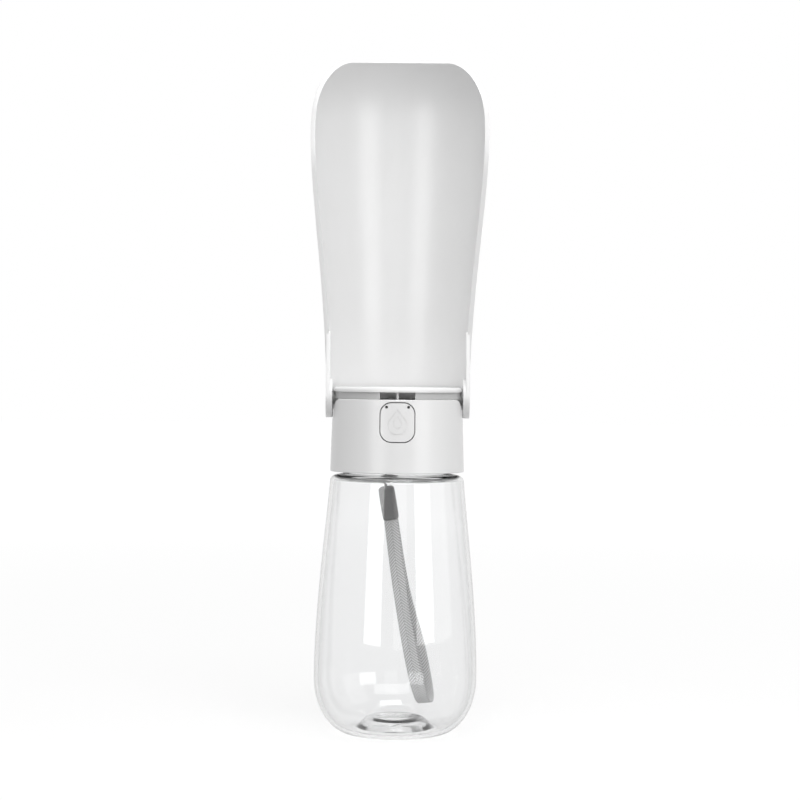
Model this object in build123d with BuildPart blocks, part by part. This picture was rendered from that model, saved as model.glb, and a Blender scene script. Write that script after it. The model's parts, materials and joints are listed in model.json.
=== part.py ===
from build123d import *
import math
import os

os.makedirs("parts", exist_ok=True)

# Dog travel water bottle: clear bottle, screw-on dispensing head, hinged drinking trough.
# Millimetres, +Z up. The origin is on the table, under the middle of the bottle.
# The button and the hollow of the opened trough face -Y.

# ---- Bottle ----
bottle_r = 38.0            # largest outside radius
belly_z = 26.0             # height of that radius
belly_pull = 30.0          # how long the side stays upright above it
foot_r = 20.0              # flat ring that the bottle stands on
foot_width = 2.5
pushup_r = 13.0            # raised middle of the base
pushup_rise = 5.0
shoulder_z = 117.5
shoulder_pull = 30.0       # how far down the side keeps the shoulder's slope
shoulder_slope = 0.09      # radius gained per mm of height there
shoulder_round = 3.4
shoulder_rise = 0.5        # slope of the shoulder up to the neck
shoulder_step = 0.1        # shoulder's radius over the collar's foot
bottle_wall = 1.8
base_wall = 3.0

# ---- Neck and its thread ----
neck_bore_r = 22.2
neck_wall = 2.1
neck_h = 11.6
thread_pitch = 3.5
thread_turns = 1.5
thread_depth = 1.2
thread_foot = 1.8          # ridge width where it leaves the wall
thread_tip = 0.8
thread_start = 4.0         # first ridge above the foot of the neck
thread_play = 0.4          # radial room between a ridge and the wall it faces
thread_seat = 1.55         # the cap's ridge lies this far under the neck's ridge
gasket_inset = 0.4         # gasket's bore outside the neck's bore
gasket_w = 2.8
gasket_t = 1.4

# ---- Screw core ----
skirt_lift = 0.8           # foot of the skirt above the neck's foot
skirt_wall = 1.8
skirt_room = 1.4           # between skirt and collar
deck_t = 1.9
flange_play = 0.2
key_count = 4
key_w = 3.0
key_depth = 1.0
key_play = 0.15
post_r = 3.2
post_circle_r = 20.0

# ---- Collar ----
collar_lift = 0.9          # foot of the collar above the neck's foot
collar_low_wall = 2.1
collar_wall = 2.0
collar_taper = 1.1         # foot's radius over the top's
collar_round = 0.4
slot_half = 14.1           # half width of a side slot at the collar's top
slot_round = 9.2
slot_depth = 9.2
stop_w = 10.0              # ledge that the opened trough rests on
stop_h = 2.4
stop_gap = 0.3

# ---- Outlet ring and top plate ----
ring_floor_drop = 1.1      # underside of the ring's floor below the collar's top
ring_floor_t = 1.1
spigot_wall = 1.7
spigot_play = 0.2
spigot_depth = 7.4
notch_room = 0.6           # beside the button's tabs
band_inset = 0.7           # band's radius inside the collar's top
band_h = 3.3
band_gap = 0.1
port_w = 7.5
port_rib = 1.0
plate_inset = 0.2
plate_t = 2.1
plate_round = 1.4
plate_rim_t = 1.0
plate_rim_h = 1.6
plate_rim_play = 0.1

# ---- Screws ----
screw_r = 1.25
screw_l = 8.0
screw_head_r = 2.4
screw_head_h = 1.5
screw_play = 0.25
hex_r = 1.1
hex_depth = 0.8
tight_fit = 0.02           # radial room of parts pressed or screwed together

# ---- Button ----
button_w = 15.4
button_h = 17.6
button_corner = 5.0
button_drop = 1.5          # button's top edge below the collar's top
button_sill = 0.6          # button's lower edge above the deck
button_gap = 0.45
button_t = 1.5
button_travel = 1.8
skirt_ring_t = 1.1         # button's own skirt
skirt_reach = 1.3          # how far it reaches inside the collar's wall
tab_w = 1.5                # side tabs that keep the button in
tab_h = 12.0
tab_play = 0.3
dot_r = 0.65
dot_x = 5.0
dot_z = 7.0
dot_depth = 0.5
sign_h = 11.9              # water-drop sign, outer and inner outline
sign_inner_h = 5.9
sign_groove = 0.45
sign_depth = 0.25
hub_r = 4.2
hub_l = 2.2
spring_disc_r = 7.4
spring_disc_t = 1.5        # its front ends inside the button's wall
spring_disc_lead = 1.0     # spring's seat in front of the skirt's inner edge

# ---- Valve ----
spring_l = 9.8
wire_r = 0.4
spring_r = 6.2
spring_turns = 5
spring_gap = 0.05
shaft_r = 2.5
stem_r = 1.7
shaft_bite = 0.6           # shaft's end behind the spring's seat
shaft_past = 0.8           # shaft past the gland
stem_past = 0.7            # stem past the retainer
gland_play = 0.1
gland_l = 4.0
nose_r = 4.8
nose_l = 4.0
outlet_cell_r = 5.0
outlet_cell_l = 12.0
outlet_r = 4.0
seat_t = 2.0
seat_hole_r = 3.8
inlet_cell_r = 6.0
inlet_cell_l = 19.0
inlet_back = 8.0           # inlet behind the valve seat
inlet_r = 4.0
housing_wall = 1.6
seal_w = 2.2
seal_t = 0.8
foot_w = 6.0
foot_l = 3.0
plug_r = 5.2
plug_t = 2.35
plug_nose_r = 3.3
plug_nose_slope = 0.5
plug_nose_l = 1.2
seat_gap = 0.05
retainer_r = 3.2
retainer_t = 1.4
valve_cap_l = 4.6
valve_cap_flange = 1.5
valve_cap_play = 0.05
cap_ring_r = 0.6           # section radius of the cap's O-ring
shaft_ring_r = 0.5         # section radius of the shaft's O-ring
shaft_ring_back = 5.0      # O-ring behind the nose's tip
groove_play = 0.15
ring_squeeze = 0.02

# ---- Trough and its hinge ----
pivot_lift = 0.4           # hinge axis above the collar's top
open_angle = 172.0
trough_wall = 2.1
hinge_room = 0.9           # between the collar's top and the closed trough
belly_room = 1.2           # between the bottle and the closed trough
neck_room = 0.3            # sets how closely the trough draws in at the collar
trough_belly_pull = 42.0
trough_neck_drop = 17.5
tip_z = 0.8                # closed trough's tip above the table
tip_drop = 10.0             # how much deeper the tip's curve is than the bottle's
tip_inner_drop = 8.0       # leaves room to unscrew the head with the trough closed
floor_lift = 6.6           # trough's floor above the hinge axis when closed
rim_start = 50.0           # the rim starts to curve forward here, above the tip
rim_pull = 20.0
tip_cut = 12.0             # rim's end forward of the foot's radius
tip_pull = 10.8
ear_r = 9.2
ear_inset = 0.5
ear_t = 1.9
ear_boss_out = 1.2         # how far the ear's round stands inwards of its plate
ear_seat = 0.5             # washer's seat inwards of that plate
ear_tongue = 30.0
tongue_r = 1.2
pin_r = 2.0
pin_play = 0.05
pin_depth = 5.2
pin_head_r = 3.6
pin_head_t = 1.0
pin_head_sink = 0.2
head_play = 0.1
boss_drop = 0.1
boss_root = 1.3
washer_t = 0.7
washer_play = 0.05

# ---- Lanyard ----
lug_x = -8.0
lug_lift = 4.7             # bar above the collar's foot
lug_gap = 5.2
cheek_t = 1.8
cheek_r = 2.6
cheek_bite = 0.4
bar_out = 3.4              # bar's centre outside the collar's foot
bar_r = 1.0
string_r = 0.65
string_bend = 1.8
lean = 10.0                # sideways lean of the hanging lanyard, degrees
swing_out = 5.5            # outward lean where it lies on the bottle, degrees
clamp_drop = 13.8          # clamp's top below the bar
clamp_h = 16.8
clamp_w = 8.2
clamp_t = 5.0
clamp_round = 2.0
string_bite = 4.0
strap_bite = 3.0
strap_w = 7.2
strap_t = 1.0
strap_yaw = 20.0           # the flat side of webbing and clamp turns this far to -X
strap_rest = 0.55          # middle of each band from the clamp's middle
# Webbing's middle line below the clamp: (outwards, up), from one end to the other.
strap_route = [
    (-strap_rest, strap_bite),
    (-strap_rest, -2.0),
    (-1.4, -20.0),
    (-2.4, -38.0),
    (-4.0, -60.0),
    (-5.2, -79.0),
    (-3.8, -91.2),
    (3.8, -92.8),
    (5.4, -80.0),
    (4.4, -61.0),
    (2.6, -39.0),
    (1.4, -20.0),
    (strap_rest, -2.0),
    (strap_rest, strap_bite),
]

# ---- Places worked out from the sizes ----
neck_r = neck_bore_r + neck_wall
neck_z = shoulder_z + shoulder_round + shoulder_rise
neck_top = neck_z + neck_h
skirt_in = neck_r + thread_depth + thread_play
skirt_out = skirt_in + skirt_wall
skirt_z = neck_z + skirt_lift
deck_z = neck_top + gasket_t
deck_top = deck_z + deck_t

collar_low_in = skirt_out + skirt_room
collar_foot_r = collar_low_in + collar_low_wall
collar_top_r = collar_foot_r - collar_taper
collar_high_in = collar_top_r - collar_wall
collar_z = neck_z + collar_lift
collar_top = deck_top + button_sill + button_h + button_drop
flange_r = collar_low_in - flange_play
shoulder_r = collar_foot_r + shoulder_step
slot_z = collar_top - slot_depth

floor_z = collar_top - ring_floor_drop
floor_top = floor_z + ring_floor_t
spigot_out = collar_high_in - spigot_play
spigot_in = spigot_out - spigot_wall
band_r = collar_top_r - band_inset
band_z = collar_top + band_gap
band_top = band_z + band_h
plate_r = collar_top_r - plate_inset
post_angle = 45.0

valve_z = deck_top + button_sill + button_h / 2
button_skirt_r = collar_high_in - skirt_reach
spring_disc_y = -(button_skirt_r + spring_disc_lead)
hub_y = spring_disc_y + hub_l
shaft_y = spring_disc_y - shaft_bite
housing_y = spring_disc_y + spring_l
nose_y = housing_y - nose_l
outlet_cell_y = housing_y + gland_l
outlet_y = outlet_cell_y + outlet_cell_l / 2
seat_y = outlet_cell_y + outlet_cell_l + seat_t
inlet_y = seat_y + inlet_back
housing_end_y = seat_y + inlet_cell_l
housing_r = inlet_cell_r + housing_wall
gland_r = shaft_r + gland_play
stem_fit = stem_r + tight_fit
plug_y = seat_y + seat_gap
plug_end_y = plug_y + plug_t
retainer_end_y = plug_end_y + retainer_t

pivot_z = collar_top + pivot_lift
boss_r = band_top - pivot_z - boss_drop
trough_top_r = collar_top_r + hinge_room + trough_wall
ear_in = trough_top_r - trough_wall + ear_inset
ear_out = ear_in + ear_t
washer_seat = ear_in - ear_seat
boss_out = washer_seat - washer_t - 2 * washer_play
pin_head_x = ear_out - pin_head_sink - pin_head_t

bar_y = collar_foot_r + bar_out
bar_z = collar_z + lug_lift

valve_axis = Axis((0, 0, valve_z), (0, 1, 0))
hinge_axis = Axis((0, 0, pivot_z), (1, 0, 0))
front_plane = Plane((0, -collar_high_in / 2, valve_z), x_dir=(1, 0, 0), z_dir=(0, -1, 0))

lean_rad = math.radians(lean)
swing_rad = math.radians(swing_out)
yaw_rad = math.radians(strap_yaw)
hang = Plane(
    origin=(lug_x, bar_y, bar_z),
    x_dir=(math.cos(lean_rad), 0, math.sin(lean_rad)),
    z_dir=(
        -math.sin(lean_rad) * math.cos(swing_rad),
        -math.sin(swing_rad),
        math.cos(lean_rad) * math.cos(swing_rad),
    ),
)


# ---- Shapes used more than once ----
def spun(points):
    """Turn a closed outline of (radius, height) points about the bottle's axis."""
    with BuildSketch(Plane.XZ) as outline:
        with BuildLine():
            Polyline(points, close=True)
        make_face()
    revolve(outline.sketch, axis=Axis.Z)


def turned(points, mode=Mode.ADD):
    """Turn a closed outline of (y, radius) points about the valve's axis."""
    with BuildSketch(Plane.YZ) as outline:
        with BuildLine():
            Polyline([(y, valve_z + r) for y, r in points], close=True)
        make_face()
    revolve(outline.sketch, axis=valve_axis, mode=mode)


def pillar(x, y, z, r, height, mode=Mode.ADD):
    """Round upright of radius r from height z."""
    with BuildSketch(Plane.XY.offset(z)) as outline:
        with Locations((x, y)):
            Circle(r)
    extrude(outline.sketch, amount=height, mode=mode)


def hinge_round(side, x, r, length, mode=Mode.ADD):
    """Cylinder on the hinge axis, from x outwards on one side of the head."""
    with BuildSketch(Plane.YZ.offset(side * x)) as outline:
        with Locations((0, pivot_z)):
            Circle(r)
    extrude(outline.sketch, amount=side * length, mode=mode)


def flat_ring(x, y, z, inner_r, outer_r, height):
    """Flat ring lying at height z."""
    with BuildSketch(Plane.XY.offset(z)) as outline:
        with Locations((x, y)):
            Circle(outer_r)
            Circle(inner_r, mode=Mode.SUBTRACT)
    extrude(outline.sketch, amount=height)


def o_ring(y, outer_r, section_r):
    """O-ring on the valve's axis."""
    with BuildSketch(Plane.YZ) as outline:
        with Locations((y, valve_z + outer_r - section_r)):
            Circle(section_r)
    revolve(outline.sketch, axis=valve_axis)


def ridge(wall_r, start_z, reach, root):
    """Thread ridge on a wall: reach and root are measured outwards from the wall."""
    with BuildLine() as path:
        Helix(thread_pitch, thread_pitch * thread_turns, wall_r, center=(0, 0, start_z))
    with BuildSketch(Plane(path.line @ 0, x_dir=(1, 0, 0), z_dir=path.line % 0)) as section:
        with BuildLine():
            Polyline(
                (root, -thread_foot / 2),
                (reach, -thread_tip / 2),
                (reach, thread_tip / 2),
                (root, thread_foot / 2),
                close=True,
            )
        make_face()
    sweep(section.sketch, path=path.line, is_frenet=True)


def body_side(inset):
    """Side of the bottle from its foot curve to the shoulder, moved inwards by inset."""
    r = bottle_r - inset
    top_r = shoulder_r - inset
    EllipticalCenterArc((foot_r, belly_z), r - foot_r, belly_z - inset, 270, arc_size=90)
    Bezier(
        (r, belly_z),
        (r, belly_z + belly_pull),
        (top_r + shoulder_slope * shoulder_pull, shoulder_z - shoulder_pull),
        (top_r, shoulder_z),
    )


def shoulder_arc(inset):
    """Round between the bottle's side and its shoulder."""
    RadiusArc(
        (shoulder_r - inset, shoulder_z),
        (shoulder_r - shoulder_round, shoulder_z + shoulder_round - inset),
        inset - shoulder_round,
    )


def trough_half(inset, drop):
    """Half outline of the closed trough's full round form, from its tip to above the hinge."""
    r = bottle_r + belly_room + trough_wall - inset
    end_z = pivot_z + floor_lift
    EllipticalCenterArc((foot_r, belly_z), r - foot_r, belly_z + drop, 270, arc_size=90)
    Bezier(
        (r, belly_z),
        (r, belly_z + trough_belly_pull),
        (collar_foot_r + neck_room + trough_wall - inset, shoulder_z - trough_neck_drop),
        (trough_top_r - inset, end_z),
    )
    Polyline((trough_top_r - inset, end_z), (0, end_z), (0, -drop), (foot_r, -drop))


def opened(y, z):
    """Where a point of the closed trough, measured from the hinge axis, lies when opened."""
    turn = math.radians(-open_angle)
    return y * math.cos(turn) - z * math.sin(turn), y * math.sin(turn) + z * math.cos(turn)


def collar_r_at(z):
    """Outside radius of the collar at a height."""
    return collar_foot_r - collar_taper * (z - collar_z) / (collar_top - collar_z)


def collar_layer(half_height, depth_out, depth_in):
    """Ring that follows the collar's slope, between two depths under its face."""
    low = valve_z - half_height
    high = valve_z + half_height
    spun([
        (collar_r_at(low) - depth_in, low),
        (collar_r_at(low) - depth_out, low),
        (collar_r_at(high) - depth_out, high),
        (collar_r_at(high) - depth_in, high),
    ])


def button_outline(grow, mode=Mode.ADD):
    """Rounded square of the button, grown on every side."""
    RectangleRounded(button_w + 2 * grow, button_h + 2 * grow, button_corner + grow, mode=mode)


def drop_outline(height, mode=Mode.ADD):
    """Water drop: a round belly and two straight flanks to the tip, centred on its height."""
    belly = height * 0.38
    rise = height - 2 * belly
    low = belly - height / 2
    touch = math.asin(belly / (rise + belly))
    side_x = belly * math.cos(touch)
    side_y = low + belly * math.sin(touch)
    with BuildLine() as drop:
        Polyline((-side_x, side_y), (0, height / 2), (side_x, side_y))
        ThreePointArc((side_x, side_y), (0, -height / 2), (-side_x, side_y))
    make_face(drop.edges(), mode=mode)


def route_radii(points):
    """Largest even round at each corner of a route."""
    radii = []
    for before, here, after in zip(points, points[1:], points[2:]):
        run_in = (here[0] - before[0], here[1] - before[1])
        run_out = (after[0] - here[0], after[1] - here[1])
        turn = math.atan2(run_out[1], run_out[0]) - math.atan2(run_in[1], run_in[0])
        turn = abs((turn + math.pi) % (2 * math.pi) - math.pi)
        shorter = min(math.hypot(*run_in), math.hypot(*run_out))
        radii.append(0.45 * shorter / math.tan(turn / 2))
    return radii


# ---- Bottle ----
with BuildPart() as bottle:
    with BuildSketch(Plane.XZ):
        with BuildLine():
            Polyline(
                (0, neck_top),
                (0, pushup_rise),
                (pushup_r, pushup_rise),
                (foot_r - foot_width, 0),
                (foot_r, 0),
            )
            body_side(0)
            shoulder_arc(0)
            Polyline(
                (shoulder_r - shoulder_round, shoulder_z + shoulder_round),
                (neck_r, neck_z),
                (neck_r, neck_top),
                (0, neck_top),
            )
        make_face()
    revolve(axis=Axis.Z)
    ridge(neck_r, neck_z + thread_start, thread_depth, -neck_wall / 10)
    with BuildSketch(Plane.XZ) as hollow:
        with BuildLine():
            Polyline(
                (0, neck_top),
                (0, pushup_rise + base_wall),
                (pushup_r, pushup_rise + base_wall),
                (foot_r, bottle_wall),
            )
            body_side(bottle_wall)
            shoulder_arc(bottle_wall)
            Polyline(
                (shoulder_r - shoulder_round, shoulder_z + shoulder_round - bottle_wall),
                (neck_bore_r, neck_z - bottle_wall),
                (neck_bore_r, neck_top),
                (0, neck_top),
            )
        make_face()
    revolve(hollow.sketch, axis=Axis.Z, mode=Mode.SUBTRACT)
bottle.part.label = "bottle"
export_step(bottle.part, "parts/bottle.step")

with BuildPart() as neck_gasket:
    gasket_in = neck_bore_r + gasket_inset
    flat_ring(0, 0, neck_top, gasket_in, gasket_in + gasket_w, gasket_t)
neck_gasket.part.label = "neck_gasket"
export_step(neck_gasket.part, "parts/neck_gasket.step")

# ---- Screw core: threaded skirt, deck, inlet and screw posts ----
with BuildPart() as screw_core:
    spun([
        (skirt_in, skirt_z),
        (skirt_out, skirt_z),
        (skirt_out, deck_z),
        (flange_r, deck_z),
        (flange_r, deck_top),
        (0, deck_top),
        (0, deck_z),
        (skirt_in, deck_z),
    ])
    ridge(skirt_in, neck_z + thread_start - thread_seat, -thread_depth, skirt_wall / 10)
    with BuildSketch(Plane.XY.offset(deck_top)):
        with PolarLocations(post_circle_r, 4, start_angle=post_angle):
            Circle(post_r)
    extrude(amount=floor_z - deck_top)
    with BuildSketch(Plane.XY.offset(floor_z)):
        with PolarLocations(post_circle_r, 4, start_angle=post_angle):
            Circle(screw_r + tight_fit)
    extrude(amount=-screw_l, mode=Mode.SUBTRACT)
    pillar(0, inlet_y, deck_z, inlet_r, deck_t, mode=Mode.SUBTRACT)
    with BuildSketch(Plane.XY.offset(deck_z)):
        with PolarLocations(flange_r, key_count, start_angle=post_angle):
            Rectangle(2 * (key_depth + key_play), key_w + 2 * key_play)
    extrude(amount=deck_t, mode=Mode.SUBTRACT)
screw_core.part.label = "screw_core"
export_step(screw_core.part, "parts/screw_core.step")

# ---- Collar ----
with BuildPart() as collar_keys:
    flat_ring(0, 0, deck_z, flange_r - key_depth, collar_low_in + collar_low_wall / 2, deck_t)
    with BuildSketch(Plane.XY.offset(deck_z)):
        with PolarLocations(flange_r, key_count, start_angle=post_angle):
            Rectangle(4 * key_depth, key_w)
    extrude(amount=deck_t, mode=Mode.INTERSECT)

with BuildPart() as collar_shell:
    spun([
        (collar_low_in, collar_z),
        (collar_foot_r, collar_z),
        (collar_top_r, collar_top),
        (collar_high_in, collar_top),
        (collar_high_in, deck_top),
        (collar_low_in, deck_top),
    ])
    rings = collar_shell.edges().filter_by(GeomType.CIRCLE).sort_by(SortBy.RADIUS)
    foot_edge = rings[-1]
    top_edge = collar_shell.edges().group_by(Axis.Z)[-1].sort_by(SortBy.RADIUS)[-1]
    fillet([foot_edge, top_edge], collar_round)
    add(collar_keys.part)

    # button's window
    with BuildSketch(front_plane) as window:
        button_outline(button_gap)
    extrude(window.sketch, amount=collar_foot_r, mode=Mode.SUBTRACT)

    # side slots for the hinge bosses
    flank_z = collar_top - slot_round
    flank_turn = math.degrees(math.acos((slot_z - flank_z) / slot_round))
    with BuildSketch(Plane.YZ) as slot:
        with BuildLine():
            right = CenterArc((slot_half, flank_z), slot_round, 90, arc_size=flank_turn)
            left = CenterArc((-slot_half, flank_z), slot_round, 90 - flank_turn, arc_size=flank_turn)
            Line(right @ 1, left @ 0)
            Polyline(
                left @ 1,
                (-slot_half, collar_top + slot_round),
                (slot_half, collar_top + slot_round),
                right @ 0,
            )
        make_face()
    extrude(slot.sketch, amount=collar_foot_r, both=True, mode=Mode.SUBTRACT)

    # ledge behind, under the end of the opened trough's floor
    stop_top = pivot_z + opened(trough_wall - trough_top_r, floor_lift)[1] - stop_gap
    stop_in = collar_high_in + collar_wall / 2
    with BuildSketch(Plane.XY.offset(stop_top - stop_h)) as ledge:
        with Locations((0, (stop_in + trough_top_r) / 2)):
            Rectangle(stop_w, trough_top_r - stop_in)
    extrude(ledge.sketch, amount=stop_h)

    # lanyard lug: two cheeks with a hole for the bar
    for cheek_side in (-1, 1):
        cheek_x = lug_x + cheek_side * (lug_gap + cheek_t) / 2
        cheek_y = math.sqrt(collar_low_in**2 - cheek_x**2) + cheek_bite
        with BuildSketch(Plane.YZ.offset(cheek_x)) as cheek:
            with Locations((bar_y, bar_z)):
                Circle(cheek_r)
            with Locations(((cheek_y + bar_y) / 2, bar_z)):
                Rectangle(bar_y - cheek_y, 2 * cheek_r)
            with Locations((bar_y, bar_z)):
                Circle(bar_r + tight_fit, mode=Mode.SUBTRACT)
        extrude(cheek.sketch, amount=cheek_t / 2, both=True)
collar_shell.part.label = "collar_shell"
export_step(collar_shell.part, "parts/collar_shell.step")

with BuildPart() as lanyard_bar:
    with BuildSketch(Plane.YZ.offset(lug_x)):
        with Locations((bar_y, bar_z)):
            Circle(bar_r)
    extrude(amount=lug_gap / 2 + cheek_t, both=True)
lanyard_bar.part.label = "lanyard_bar"
export_step(lanyard_bar.part, "parts/lanyard_bar.step")

# ---- Outlet ring ----
with BuildPart() as outlet_ring:
    spun([
        (0, floor_z),
        (spigot_in, floor_z),
        (spigot_in, floor_z - spigot_depth),
        (spigot_out, floor_z - spigot_depth),
        (spigot_out, band_z),
        (band_r, band_z),
        (band_r, band_top),
        (spigot_in, band_top),
        (spigot_in, floor_top),
        (0, floor_top),
    ])
    for side in (-1, 1):
        hinge_round(side, spigot_in - boss_root, boss_r, boss_out - spigot_in + boss_root)
    # two outlet slots in front and two behind
    with BuildSketch(Plane.XY.offset(floor_top)) as ports:
        with GridLocations(port_w + port_rib, spigot_in + band_r, 2, 2):
            Rectangle(port_w, 2 * (band_r - spigot_in))
    extrude(ports.sketch, amount=band_top - floor_top, mode=Mode.SUBTRACT)
    # room for the pressed button
    with BuildSketch(Plane.XY.offset(floor_z - spigot_depth)) as notch:
        with Locations((0, -spigot_out)):
            Rectangle(button_w + 2 * (tab_w + notch_room), spigot_out)
    extrude(notch.sketch, amount=spigot_depth, mode=Mode.SUBTRACT)
    pillar(0, outlet_y, floor_z, outlet_r, ring_floor_t, mode=Mode.SUBTRACT)
    with BuildSketch(Plane.XY.offset(floor_z)) as screw_holes:
        with PolarLocations(post_circle_r, 4, start_angle=post_angle):
            Circle(screw_r + screw_play)
    extrude(screw_holes.sketch, amount=ring_floor_t, mode=Mode.SUBTRACT)
    for side in (-1, 1):
        hinge_round(side, boss_out - pin_depth, pin_r + tight_fit, pin_depth, mode=Mode.SUBTRACT)
outlet_ring.part.label = "outlet_ring"
export_step(outlet_ring.part, "parts/outlet_ring.step")

with BuildPart() as top_plate:
    rim_out = spigot_in - plate_rim_play
    flat_ring(0, 0, band_top - plate_rim_h, rim_out - plate_rim_t, rim_out, plate_rim_h)
    with BuildSketch(Plane.XY.offset(band_top - plate_rim_h)):
        Rectangle(2 * (port_w + port_rib), 2 * spigot_out)
        Rectangle(2 * spigot_out, 2 * (boss_r + plate_rim_t))
    extrude(amount=plate_rim_h, mode=Mode.SUBTRACT)
    pillar(0, 0, band_top, plate_r, plate_t)
    fillet(top_plate.edges().group_by(Axis.Z)[-1], plate_round)
top_plate.part.label = "top_plate"
export_step(top_plate.part, "parts/top_plate.step")

with BuildPart() as ring_screws:
    with BuildSketch(Plane.XY.offset(floor_top)) as heads:
        with PolarLocations(post_circle_r, 4, start_angle=post_angle):
            Circle(screw_head_r)
    extrude(heads.sketch, amount=screw_head_h)
    with BuildSketch(Plane.XY.offset(floor_top)) as shanks:
        with PolarLocations(post_circle_r, 4, start_angle=post_angle):
            Circle(screw_r)
    extrude(shanks.sketch, amount=-screw_l)
    with BuildSketch(Plane.XY.offset(floor_top + screw_head_h)) as sockets:
        with PolarLocations(post_circle_r, 4, start_angle=post_angle):
            RegularPolygon(hex_r, 6)
    extrude(sockets.sketch, amount=-hex_depth, mode=Mode.SUBTRACT)
ring_screws.part.label = "ring_screws"
export_step(ring_screws.part, "parts/ring_screws.step")

# ---- Valve housing and its seals ----
with BuildPart() as valve_housing:
    turned([
        (nose_y, 0),
        (nose_y, nose_r),
        (housing_y, nose_r),
        (housing_y, housing_r),
        (housing_end_y, housing_r),
        (housing_end_y, 0),
    ])
    inlet_z = deck_top + seal_t
    outlet_z = floor_z - seal_t
    pillar(0, inlet_y, inlet_z, inlet_r + seal_w, valve_z - inlet_z)
    pillar(0, outlet_y, valve_z, outlet_r + housing_wall, outlet_z - valve_z)
    with BuildSketch(Plane.XY.offset(deck_top)) as front_foot:
        with Locations((0, housing_y + foot_l)):
            Rectangle(foot_w, foot_l)
    extrude(front_foot.sketch, amount=valve_z - deck_top)
    turned(
        [
            (nose_y, 0),
            (nose_y, gland_r),
            (outlet_cell_y, gland_r),
            (outlet_cell_y, outlet_cell_r),
            (seat_y - seat_t, outlet_cell_r),
            (seat_y - seat_t, seat_hole_r),
            (seat_y, seat_hole_r),
            (seat_y, inlet_cell_r),
            (housing_end_y, inlet_cell_r),
            (housing_end_y, 0),
        ],
        mode=Mode.SUBTRACT,
    )
    pillar(0, inlet_y, inlet_z, inlet_r, valve_z - inlet_z, mode=Mode.SUBTRACT)
    pillar(0, outlet_y, valve_z, outlet_r, outlet_z - valve_z, mode=Mode.SUBTRACT)
valve_housing.part.label = "valve_housing"
export_step(valve_housing.part, "parts/valve_housing.step")

with BuildPart() as inlet_seal:
    flat_ring(0, inlet_y, deck_top, inlet_r, inlet_r + seal_w, seal_t)
inlet_seal.part.label = "inlet_seal"
export_step(inlet_seal.part, "parts/inlet_seal.step")

with BuildPart() as outlet_seal:
    flat_ring(0, outlet_y, floor_z - seal_t, outlet_r, outlet_r + housing_wall, seal_t)
outlet_seal.part.label = "outlet_seal"
export_step(outlet_seal.part, "parts/outlet_seal.step")

cap_ring_y = housing_end_y - valve_cap_l / 2
cap_ring_out = inlet_cell_r - ring_squeeze
cap_groove = cap_ring_r + groove_play
with BuildPart() as valve_cap:
    cap_r = inlet_cell_r - valve_cap_play
    groove_r = cap_ring_out - 2 * cap_ring_r - tight_fit
    turned([
        (housing_end_y - valve_cap_l, 0),
        (housing_end_y - valve_cap_l, cap_r),
        (cap_ring_y - cap_groove, cap_r),
        (cap_ring_y - cap_groove, groove_r),
        (cap_ring_y + cap_groove, groove_r),
        (cap_ring_y + cap_groove, cap_r),
        (housing_end_y, cap_r),
        (housing_end_y, housing_r),
        (housing_end_y + valve_cap_flange, housing_r),
        (housing_end_y + valve_cap_flange, 0),
    ])
valve_cap.part.label = "valve_cap"
export_step(valve_cap.part, "parts/valve_cap.step")

with BuildPart() as valve_cap_o_ring:
    o_ring(cap_ring_y, cap_ring_out, cap_ring_r)
valve_cap_o_ring.part.label = "valve_cap_o_ring"
export_step(valve_cap_o_ring.part, "parts/valve_cap_o_ring.step")

# ---- Plunger, plug and spring ----
shaft_ring_y = nose_y + shaft_ring_back
shaft_ring_out = gland_r - ring_squeeze
shaft_groove = shaft_ring_r + groove_play
with BuildPart() as plunger:
    groove_r = shaft_ring_out - 2 * shaft_ring_r - tight_fit
    turned([
        (shaft_y, 0),
        (shaft_y, shaft_r),
        (shaft_ring_y - shaft_groove, shaft_r),
        (shaft_ring_y - shaft_groove, groove_r),
        (shaft_ring_y + shaft_groove, groove_r),
        (shaft_ring_y + shaft_groove, shaft_r),
        (outlet_cell_y + shaft_past, shaft_r),
        (outlet_cell_y + shaft_past, stem_r),
        (retainer_end_y + stem_past, stem_r),
        (retainer_end_y + stem_past, 0),
    ])
plunger.part.label = "plunger"
export_step(plunger.part, "parts/plunger.step")

with BuildPart() as plunger_o_ring:
    o_ring(shaft_ring_y, shaft_ring_out, shaft_ring_r)
plunger_o_ring.part.label = "plunger_o_ring"
export_step(plunger_o_ring.part, "parts/plunger_o_ring.step")

with BuildPart() as valve_plug:
    turned([
        (plug_y - plug_nose_l, stem_fit),
        (plug_y - plug_nose_l, plug_nose_r - plug_nose_slope),
        (plug_y, plug_nose_r),
        (plug_y, plug_r),
        (plug_end_y, plug_r),
        (plug_end_y, stem_fit),
    ])
valve_plug.part.label = "valve_plug"
export_step(valve_plug.part, "parts/valve_plug.step")

with BuildPart() as plug_retainer:
    turned([
        (plug_end_y, stem_fit),
        (plug_end_y, retainer_r),
        (retainer_end_y, retainer_r),
        (retainer_end_y, stem_fit),
    ])
plug_retainer.part.label = "plug_retainer"
export_step(plug_retainer.part, "parts/plug_retainer.step")

coil_start_y = spring_disc_y + wire_r + spring_gap
coil_l = spring_l - 2 * (wire_r + spring_gap)
with BuildPart() as return_spring:
    with BuildLine() as coil:
        Helix(coil_l / spring_turns, coil_l, spring_r, (0, coil_start_y, valve_z), (0, 1, 0))
    with BuildSketch(Plane(coil.line @ 0, z_dir=coil.line % 0)) as wire:
        Circle(wire_r)
    sweep(wire.sketch, path=coil.line, is_frenet=True)
return_spring.part.label = "return_spring"
export_step(return_spring.part, "parts/return_spring.step")

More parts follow.
